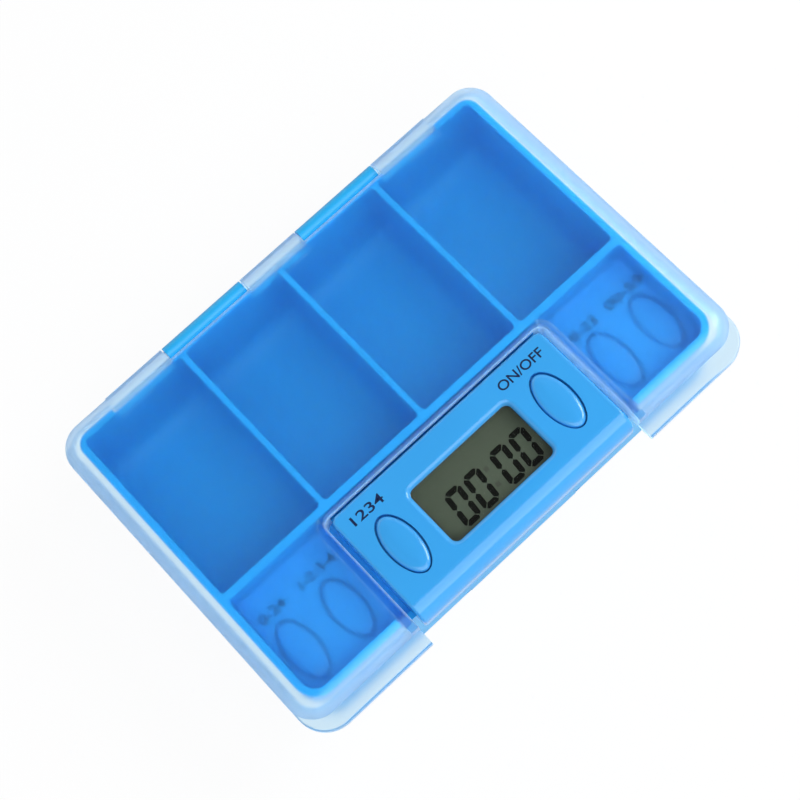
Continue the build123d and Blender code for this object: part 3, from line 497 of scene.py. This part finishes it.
# ---- keys ------------------------------------------------------------------------------
@dataclass
class Keys:
    """The six oval keys: a pillowed cap on a flange, and a ribbed stem over a deep switch."""
    cover_wall: float = 1.5 * MM
    proud: float = 0.25 * MM         # how far the cap stands above the cover
    seat_gap: float = 0.1 * MM       # between the flange and the cover's underside
    flange: float = 0.6 * MM         # past the cap, all round
    flange_height: float = 0.8 * MM
    rim_width: float = 1.05 * MM     # how far the pillow's slope reaches in from the cap's side
    rim_height: float = 0.5 * MM
    crown: float = 0.12 * MM         # rise of the cap's middle above its slope
    shoulder_reach: float = 1.6      # in from the cap's side, in widths of its slope
    shoulder_drop: float = 0.35      # below the cap's middle, as a share of the crown
    crown_reach: float = 2.2         # where the flat middle begins, in widths of its slope
    draft: float = 0.02 * MM         # how far the cap's side leans in up to the slope
    stem_rib: float = 1.0 * MM
    stem_span: float = 3.6 * MM
    stem_edge: float = 0.12 * MM     # the bevel of its edges
    stem_overlap: float = 0.3 * MM   # how far it reaches into the flange
    least_stem: float = 1.0 * MM     # a plunger nearer than this needs no stem
    crease_degrees: float = 35.0     # an edge sharper than this stays sharp
    segments: int = 80
    steps: int = 7

    def sections(self, top: float) -> list[tuple[float, float]]:
        """The key's outline from the flange up to the crown.

        Args:
            top: height of the cap's middle.

        Returns:
            Pairs of inset from the flange's side and height.
        """
        seat = top - self.proud - self.cover_wall - self.seat_gap
        rim = top - self.crown - self.rim_height
        side = self.flange + self.draft
        outline = [(0.0, seat - self.flange_height), (0.0, seat), (self.flange, seat), (side, rim)]
        for i in range(1, self.steps + 1):
            turn = math.radians(90 * i / self.steps)
            outline.append((side + self.rim_width * (1 - math.cos(turn)),
                            rim + self.rim_height * math.sin(turn)))
        outline.append((side + self.shoulder_reach * self.rim_width,
                        top - self.shoulder_drop * self.crown))
        outline.append((side + self.crown_reach * self.rim_width, top))
        return outline

    def stem(self, bm: bmesh.types.BMesh, middle: Vector, foot: float, head: float) -> None:
        """Adds the two crossed ribs between the plunger and the flange.

        Args:
            bm: the key's mesh.
            middle: the key's middle.
            foot: height of the stem's lower end.
            head: height that it joins the flange at.
        """
        for across in ((self.stem_span, self.stem_rib), (self.stem_rib, self.stem_span)):
            rib = bmesh.ops.create_cube(bm, size=1.0)["verts"]
            bmesh.ops.scale(bm, vec=(*across, head - foot), verts=rib)
            bmesh.ops.translate(bm, vec=(middle.x, middle.y, (head + foot) / 2), verts=rib)
            edges = {edge for vert in rib for edge in vert.link_edges}
            bmesh.ops.bevel(bm, geom=list(edges), offset=self.stem_edge, offset_type="OFFSET",
                            segments=2, profile=0.5, affect="EDGES", material=-1)

    def key(self, node: str) -> bpy.types.Object:
        """One whole key in its place.

        Args:
            node: the CAD node that it stands for.

        Returns:
            The key's object.
        """
        low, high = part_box(node)
        middle = (low + high) / 2
        half_x, half_y = (high.x - low.x) / 2, (high.y - low.y) / 2
        outline = self.sections(high.z)
        foot = outline[0][1]
        bm = bmesh.new()
        ring = bmesh.ops.create_circle(bm, cap_ends=True, segments=self.segments,
                                       radius=1.0)["verts"]
        face = bm.faces[:][0]
        wide = (half_x, half_y)
        bmesh.ops.scale(bm, vec=(*wide, 1), verts=ring)
        bmesh.ops.translate(bm, vec=(middle.x, middle.y, foot), verts=ring)
        for step, ((_, z0), (inset, z1)) in enumerate(zip(outline, outline[1:])):
            grown = bmesh.ops.extrude_face_region(bm, geom=[face])["geom"]
            if step:     # the first face stays as the flange's underside
                bmesh.ops.delete(bm, geom=[face], context="FACES_ONLY")
            face = next(g for g in grown if isinstance(g, bmesh.types.BMFace))
            ring = [g for g in grown if isinstance(g, bmesh.types.BMVert)]
            narrow = (half_x - inset, half_y - inset)
            bmesh.ops.scale(bm, vec=(narrow[0] / wide[0], narrow[1] / wide[1], 1), verts=ring,
                            space=Matrix.Translation(-middle))
            bmesh.ops.translate(bm, vec=(0, 0, z1 - z0), verts=ring)
            wide = narrow
        if foot - low.z > self.least_stem:
            self.stem(bm, middle, low.z, foot + self.stem_overlap)
        return object_from(bm, node.replace("key_", "keycap_"), math.radians(self.crease_degrees))

    def build(self) -> None:
        """Makes each key and puts it in its CAD node's place."""
        for node in [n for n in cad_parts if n.startswith("key_")]:
            piece = self.key(node)
            COVER_PLASTIC.dress(piece)
            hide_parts(node)
            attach(piece, node)
            log.info("%s: %s", piece.name, COVER_PLASTIC.name)


# ---- display ---------------------------------------------------------------------------
@dataclass
class Numerals:
    """Four seven-segment noughts and a faint colon, in the crystal between the two glasses."""
    height: float = 6.75 * MM
    width: float = 3.45 * MM
    stroke: float = 1.0 * MM
    gap: float = 0.14 * MM           # between two bars
    clip: float = 0.8 * MM           # cut from each outer corner
    point: float = 0.45              # how long a bar's pointed end is, as a share of the stroke
    slant: float = 0.1
    thickness: float = 0.03 * MM
    lift: float = 0.005 * MM         # keeps them clear of the rear glass
    base_y: float = -24.25 * MM
    centres: tuple[float, ...] = (-6.0 * MM, -1.9 * MM, 3.85 * MM, 8.0 * MM)
    colon_x: float = 0.65 * MM       # where its dots' line meets the numerals' foot
    colon_heights: tuple[float, ...] = (2.0 * MM, 5.1 * MM)
    colon_side: float = 0.85 * MM

    def bar(self, bm: bmesh.types.BMesh, points: Sequence[tuple[float, float]]) -> None:
        """Adds one flat bar.

        Args:
            bm: the mesh that it joins.
            points: its corners in the numeral's own plane, in metres.
        """
        face = bm.faces.new([bm.verts.new((x, y, 0)) for x, y in points])
        grown = bmesh.ops.extrude_face_region(bm, geom=[face])
        lifted = [g for g in grown["geom"] if isinstance(g, bmesh.types.BMVert)]
        bmesh.ops.translate(bm, vec=(0, 0, self.thickness), verts=lifted)

    def nought(self, x: float, z: float, name: str) -> bpy.types.Object:
        """One numeral of six lit bars, the middle one unlit.

        Args:
            x: the numeral's middle.
            z: the height that it lies at.
            name: the object's name.

        Returns:
            The numeral's object.
        """
        bm = bmesh.new()
        half, mid, top, g = self.width / 2, self.height / 2, self.height, self.gap / 2
        inner, t, c = half - self.stroke, self.stroke, self.clip
        waist = mid - t * self.point - g
        foot = [(-half + c, 0), (half - c, 0), (half - c / 2 - g, c / 2 - g), (inner - g, t),
                (-inner + g, t), (-half + c / 2 + g, c / 2 - g)]
        riser = [(half, c), (half, waist), (half - t / 2, mid - g), (inner, waist),
                 (inner, t + g), (half - c / 2 + g, c / 2 + g)]
        bars = (foot, riser, [(-px, py) for px, py in riser])
        for bar in bars:
            self.bar(bm, bar)
            self.bar(bm, [(px, top - py) for px, py in bar])
        bmesh.ops.transform(bm, matrix=self.lean(x, z), verts=bm.verts)
        return object_from(bm, name)

    def lean(self, x: float, z: float) -> Matrix:
        """The slant of the figures, and their place on the glass.

        Args:
            x: where the figure's own zero goes.
            z: the height that it lies at.

        Returns:
            The matrix.
        """
        return Matrix(((1, self.slant, 0, x), (0, 1, 0, self.base_y), (0, 0, 1, z), (0, 0, 0, 1)))

    def colon(self, z: float) -> bpy.types.Object:
        """The two dots between the hours and the minutes, unlit and only just seen.

        Args:
            z: the height that they lie at.

        Returns:
            The colon's object.
        """
        bm = bmesh.new()
        half = self.colon_side / 2
        for height in self.colon_heights:
            self.bar(bm, [(-half, height - half), (half, height - half), (half, height + half),
                          (-half, height + half)])
        bmesh.ops.transform(bm, matrix=self.lean(self.colon_x, z), verts=bm.verts)
        return object_from(bm, "colon")

    def build(self) -> None:
        """Lays the four numerals and the colon on the rear glass."""
        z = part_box("display_rear_glass")[1].z + self.lift
        for i, x in enumerate(self.centres):
            piece = self.nought(x, z, f"numeral_{i + 1}")
            NUMERAL_INK.dress(piece)
            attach(piece, "housing")
            log.info("%s: %s", piece.name, NUMERAL_INK.name)
        colon = self.colon(z)
        UNLIT_INK.dress(colon)
        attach(colon, "housing")
        log.info("%s: %s", colon.name, UNLIT_INK.name)


# ---- marks -----------------------------------------------------------------------------
class Ground(Enum):
    """What a mark is printed on."""
    PANEL = "panel"
    DECK = "deck"


@dataclass(frozen=True)
class Mark:
    """One printed mark: the middle of its foot, and its length."""
    name: str
    text: str
    x: float
    y: float
    width: float
    ground: Ground


@dataclass
class Marks:
    """The pad-printed words and numbers behind the keys."""
    depth: float = 0.01 * MM
    cap_height: float = 1.75 * MM
    key_proud: float = 0.25 * MM     # how far the keys stand above their deck
    type_depth: float = 0.01         # half the letters' depth, as a share of the type's size
    weight: float = 0.012            # added to the strokes, as a share of the type's size
    curve_steps: int = 8             # with more of them, the heavier strokes fold over
    weld: float = 1e-5               # joins the letters' faces to their sides, in type sizes
    marks: tuple[Mark, ...] = (
        Mark("mark_memo", "1234", -17.35 * MM, -12.2 * MM, 6.4 * MM, Ground.PANEL),
        Mark("mark_on_off", "ON/OFF", 16.2 * MM, -12.3 * MM, 9.4 * MM, Ground.PANEL),
        Mark("mark_time", "0-24", -39.25 * MM, -12.3 * MM, 5.2 * MM, Ground.DECK),
        Mark("mark_alarm", "1-2-3-4", -29.6 * MM, -12.3 * MM, 7.3 * MM, Ground.DECK),
        Mark("mark_hour", "0-23", 29.9 * MM, -12.8 * MM, 5.6 * MM, Ground.DECK),
        Mark("mark_minute", "00-59", 39.2 * MM, -12.8 * MM, 8.2 * MM, Ground.DECK),
    )

    def letters(self, mark: Mark) -> bpy.types.Mesh:
        """The mark's letters as one closed mesh, at the size of the type.

        Args:
            mark: the mark.

        Returns:
            The mesh.
        """
        curve = bpy.data.curves.new(mark.name, "FONT")
        curve.body = mark.text
        curve.align_x = "CENTER"
        curve.extrude = self.type_depth
        curve.offset = self.weight
        curve.resolution_u = self.curve_steps
        lettering = bpy.data.objects.new(mark.name + "_curve", curve)
        bpy.context.scene.collection.objects.link(lettering)
        bpy.context.view_layer.update()
        depsgraph = bpy.context.evaluated_depsgraph_get()
        mesh = bpy.data.meshes.new_from_object(lettering.evaluated_get(depsgraph))
        bpy.data.objects.remove(lettering)
        bpy.data.curves.remove(curve)
        mesh.materials.clear()
        bm = bmesh.new()
        bm.from_mesh(mesh)
        bmesh.ops.remove_doubles(bm, verts=bm.verts, dist=self.weld)
        bmesh.ops.recalc_face_normals(bm, faces=bm.faces)
        bm.to_mesh(mesh)
        bm.free()
        return mesh

    def printed(self, mark: Mark, z: float) -> bpy.types.Object:
        """One printed mark in its place.

        Args:
            mark: the mark.
            z: height of the surface that it is printed on.

        Returns:
            The mark as a mesh object.
        """
        mesh = self.letters(mark)
        low = Vector(map(min, zip(*(v.co for v in mesh.vertices))))
        high = Vector(map(max, zip(*(v.co for v in mesh.vertices))))
        scale = Vector((mark.width / (high.x - low.x), self.cap_height / (high.y - low.y),
                        self.depth / (high.z - low.z)))
        mesh.transform(Matrix.Translation(-Vector(((low.x + high.x) / 2, low.y, low.z))))
        mesh.transform(Matrix.Diagonal(scale.to_4d()))
        mesh.transform(Matrix.Translation((mark.x, mark.y, z)))
        piece = bpy.data.objects.new(mark.name, mesh)
        bpy.context.scene.collection.objects.link(piece)
        return piece

    def build(self) -> None:
        """Prints each mark on its deck or panel."""
        heights = {Ground.PANEL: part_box("timer_cover")[1].z,
                   Ground.DECK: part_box("key_time")[1].z - self.key_proud}
        for mark in self.marks:
            piece = self.printed(mark, heights[mark.ground])
            PRINT_INK.dress(piece)
            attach(piece, "housing")
            log.info("%s: %s", piece.name, PRINT_INK.name)


# ---- studio ----------------------------------------------------------------------------
@dataclass(frozen=True)
class Lamp:
    """A square soft lamp: where it hangs and its side, in metres, and its watts."""
    name: str
    place: tuple[float, float, float]
    side: float
    power: float


@dataclass
class Studio:
    """The floor, the lamps, the surroundings and the camera.

    The surroundings are white walls under a dimmer ceiling. A rise is a ray's slope, 0 level
    and 1 straight up: the walls end at a pair's first rise and the ceiling begins at its
    second, once for the light that they give and once for what a gloss shows of them.
    """
    frame_px: int = 800
    focal_px: float = 1742.97
    eye: tuple[float, float, float] = (-39.868 * MM, -81.335 * MM, 289.523 * MM)
    right: tuple[float, float, float] = (0.732413, -0.674177, -0.095207)
    up: tuple[float, float, float] = (0.666929, 0.682226, 0.299625)
    sensor_mm: float = 36.0
    clip: tuple[float, float] = (0.01, 10.0)
    wall_light: float = 0.52
    ceiling_light: float = 0.19
    light_rises: tuple[float, float] = (0.1, 0.75)
    wall_shown: float = 1.0
    ceiling_shown: float = 0.09
    shown_rises: tuple[float, float] = (0.65, 0.93)
    floor_half: float = 3.0
    floor_gap: float = 0.05 * MM     # the floor lies this far under the box's flat face
    floor_colour: str = "f4f5f7"
    floor_glow: float = 0.93         # the share of plain white in what is seen of the floor
    lamps: tuple[Lamp, ...] = (
        Lamp("key_lamp", (-0.1, -0.62, 1.0), 1.2, 10.2),
        Lamp("fill_lamp", (0.5, -0.1, 0.45), 0.3, 2.4),
        Lamp("back_lamp", (-0.1, 0.9, 0.55), 0.6, 0.6),
    )

    def camera(self) -> None:
        """Makes the camera and makes it the scene's."""
        data = bpy.data.cameras.new("camera")
        data.sensor_width = self.sensor_mm
        data.lens = self.focal_px / self.frame_px * self.sensor_mm
        data.clip_start, data.clip_end = self.clip
        eye = bpy.data.objects.new("camera", data)
        bpy.context.scene.collection.objects.link(eye)
        right = Vector(self.right).normalized()
        up = Vector(self.up)
        up = (up - right * up.dot(right)).normalized()
        turn = Matrix((right, up, right.cross(up))).transposed()
        eye.matrix_world = Matrix.Translation(self.eye) @ turn.to_4x4()
        bpy.context.scene.camera = eye

    def hang(self, lamp: Lamp) -> None:
        """Hangs a lamp and aims it at the box.

        Args:
            lamp: the lamp.
        """
        data = bpy.data.lights.new(lamp.name, "AREA")
        data.size, data.energy = lamp.side, lamp.power
        hung = bpy.data.objects.new(lamp.name, data)
        bpy.context.scene.collection.objects.link(hung)
        hung.location = lamp.place
        hung.rotation_mode = "QUATERNION"
        hung.rotation_quaternion = (-Vector(lamp.place)).to_track_quat("-Z", "Y")

    def mirrored_or_through(self, tree: bpy.types.NodeTree) -> bpy.types.NodeSocket:
        """Tells rays that come off a gloss or through glass from the rest.

        Args:
            tree: the node tree.

        Returns:
            A socket that is 1 for them and 0 for the rest.
        """
        ray = add_node(tree, "ShaderNodeLightPath")
        both = add_node(tree, "ShaderNodeMath", links={
            0: ray.outputs["Is Glossy Ray"], 1: ray.outputs["Is Transmission Ray"]},
            operation="MAXIMUM")
        return both.outputs[0]

    def seen_white(self, tree: bpy.types.NodeTree) -> bpy.types.NodeSocket:
        """Tells rays from the camera, a gloss or through glass from the rest.

        Args:
            tree: the node tree.

        Returns:
            A socket that is 1 for them and 0 for the rest.
        """
        ray = add_node(tree, "ShaderNodeLightPath")
        every = add_node(tree, "ShaderNodeMath", links={
            0: ray.outputs["Is Camera Ray"], 1: self.mirrored_or_through(tree)},
            operation="MAXIMUM")
        return every.outputs[0]

    def surround(self, tree: bpy.types.NodeTree, height: bpy.types.NodeSocket,
                 rises: tuple[float, float], wall: float, ceiling: float) -> bpy.types.NodeSocket:
        """White walls that give way to a dimmer ceiling.

        Args:
            tree: the world's node tree.
            height: the socket of the ray's rise.
            rises: where the walls end and where the ceiling begins.
            wall: the walls' strength.
            ceiling: the ceiling's strength.

        Returns:
            The background shader's socket.
        """
        fall = add_node(tree, "ShaderNodeMapRange",
                        {"From Min": rises[0], "From Max": rises[1],
                         "To Min": wall, "To Max": ceiling},
                        {"Value": height})
        background = add_node(tree, "ShaderNodeBackground", {"Color": (1, 1, 1, 1)},
                              {"Strength": fall.outputs[0]})
        return background.outputs[0]

    def world(self) -> None:
        """White surroundings: white to the camera, and at a plain level for their light."""
        world = bpy.data.worlds.new("surroundings")
        world.use_nodes = True
        tree = world.node_tree
        tree.nodes.clear()
        place = add_node(tree, "ShaderNodeTexCoord")
        way = add_node(tree, "ShaderNodeSeparateXYZ", links={0: place.outputs["Generated"]})
        height = way.outputs["Z"]
        light = self.surround(tree, height, self.light_rises, self.wall_light, self.ceiling_light)
        shown = self.surround(tree, height, self.shown_rises, self.wall_shown, self.ceiling_shown)
        white = add_node(tree, "ShaderNodeBackground", {"Color": (1, 1, 1, 1), "Strength": 1.0})
        bounced = add_node(tree, "ShaderNodeMixShader", links={
            "Fac": self.mirrored_or_through(tree), 1: light, 2: shown})
        ray = add_node(tree, "ShaderNodeLightPath")
        mixed = add_node(tree, "ShaderNodeMixShader", links={
            "Fac": ray.outputs["Is Camera Ray"], 1: bounced.outputs[0], 2: white.outputs[0]})
        add_node(tree, "ShaderNodeOutputWorld", links={"Surface": mixed.outputs[0]})
        bpy.context.scene.world = world

    def floor(self) -> None:
        """A plain white floor that shows the box's faint shadow, see-through from under it."""
        bm = bmesh.new()
        bmesh.ops.create_grid(bm, x_segments=1, y_segments=1, size=self.floor_half)
        bmesh.ops.translate(bm, vec=(0, 0, -self.floor_gap), verts=bm.verts)
        floor = object_from(bm, "floor")
        material = bpy.data.materials.new("white_card")
        material.use_nodes = True
        tree = material.node_tree
        tree.nodes.clear()
        card = add_node(tree, "ShaderNodeBsdfDiffuse", {"Color": linear(self.floor_colour)})
        glow = add_node(tree, "ShaderNodeEmission", {"Strength": 1.0})
        share = add_node(tree, "ShaderNodeMath", {1: self.floor_glow}, {0: self.seen_white(tree)},
                         operation="MULTIPLY")
        mixed = add_node(tree, "ShaderNodeMixShader", links={
            "Fac": share.outputs[0], 1: card.outputs[0], 2: glow.outputs[0]})
        side = add_node(tree, "ShaderNodeNewGeometry")
        clear = add_node(tree, "ShaderNodeBsdfTransparent")
        one_sided = add_node(tree, "ShaderNodeMixShader", links={
            "Fac": side.outputs["Backfacing"], 1: mixed.outputs[0], 2: clear.outputs[0]})
        add_node(tree, "ShaderNodeOutputMaterial", links={"Surface": one_sided.outputs[0]})
        floor.data.materials.append(material)

    def build(self) -> None:
        """Sets up everything but the box."""
        bpy.context.scene.view_settings.view_transform = "Standard"
        self.camera()
        self.world()
        self.floor()
        for lamp in self.lamps:
            self.hang(lamp)
        log.info("studio: %d lamps", len(self.lamps))


def main() -> None:
    """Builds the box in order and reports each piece."""
    logging.basicConfig(level=logging.INFO, format="%(name)s %(message)s")
    Studio().build()
    Shells().build()
    Works().build()
    Keys().build()
    Numerals().build()
    Marks().build()


if __name__ == "__main__":
    main()
